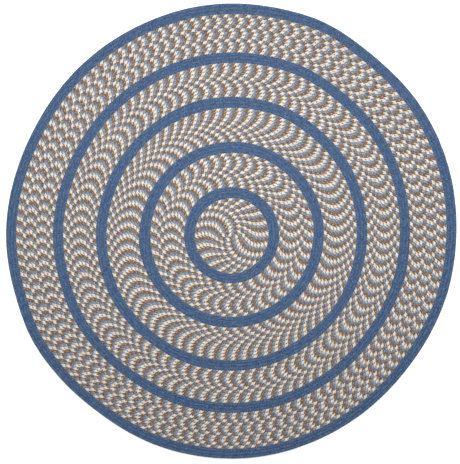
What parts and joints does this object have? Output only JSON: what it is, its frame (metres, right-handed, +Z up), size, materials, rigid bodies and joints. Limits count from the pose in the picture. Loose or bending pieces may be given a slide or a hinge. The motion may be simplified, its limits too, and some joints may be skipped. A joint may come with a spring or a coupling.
{
  "type": "braided rug",
  "caption": "Round braided rug of tweed braid with narrow blue rings and a blue border, wound in a flat spiral and sewn edge to edge; lies flat on a floor.",
  "frame": {"origin": "on the floor under the middle of the rug, the bottom centre of its bounding box", "axes": "+Z up from the floor through the rug's thickness, +Y towards the top of the picture, +X towards its right"},
  "size_m": [1.824, 1.8432, 0.0095],
  "materials": {
    "tweed_braid": "matt three-strand yarn braid in cream, light blue and brown",
    "blue_braid": "matt yarn braid in denim blue"
  },
  "bodies": {
    "root": {"tweed_centre": "tweed_braid", "blue_ring_1": "blue_braid", "tweed_band_1": "tweed_braid", "blue_ring_2": "blue_braid", "tweed_band_2": "tweed_braid", "blue_ring_3": "blue_braid", "tweed_band_3": "tweed_braid", "blue_ring_4": "blue_braid", "tweed_band_4": "tweed_braid", "blue_border": "blue_braid"}
  },
  "joints": []
}
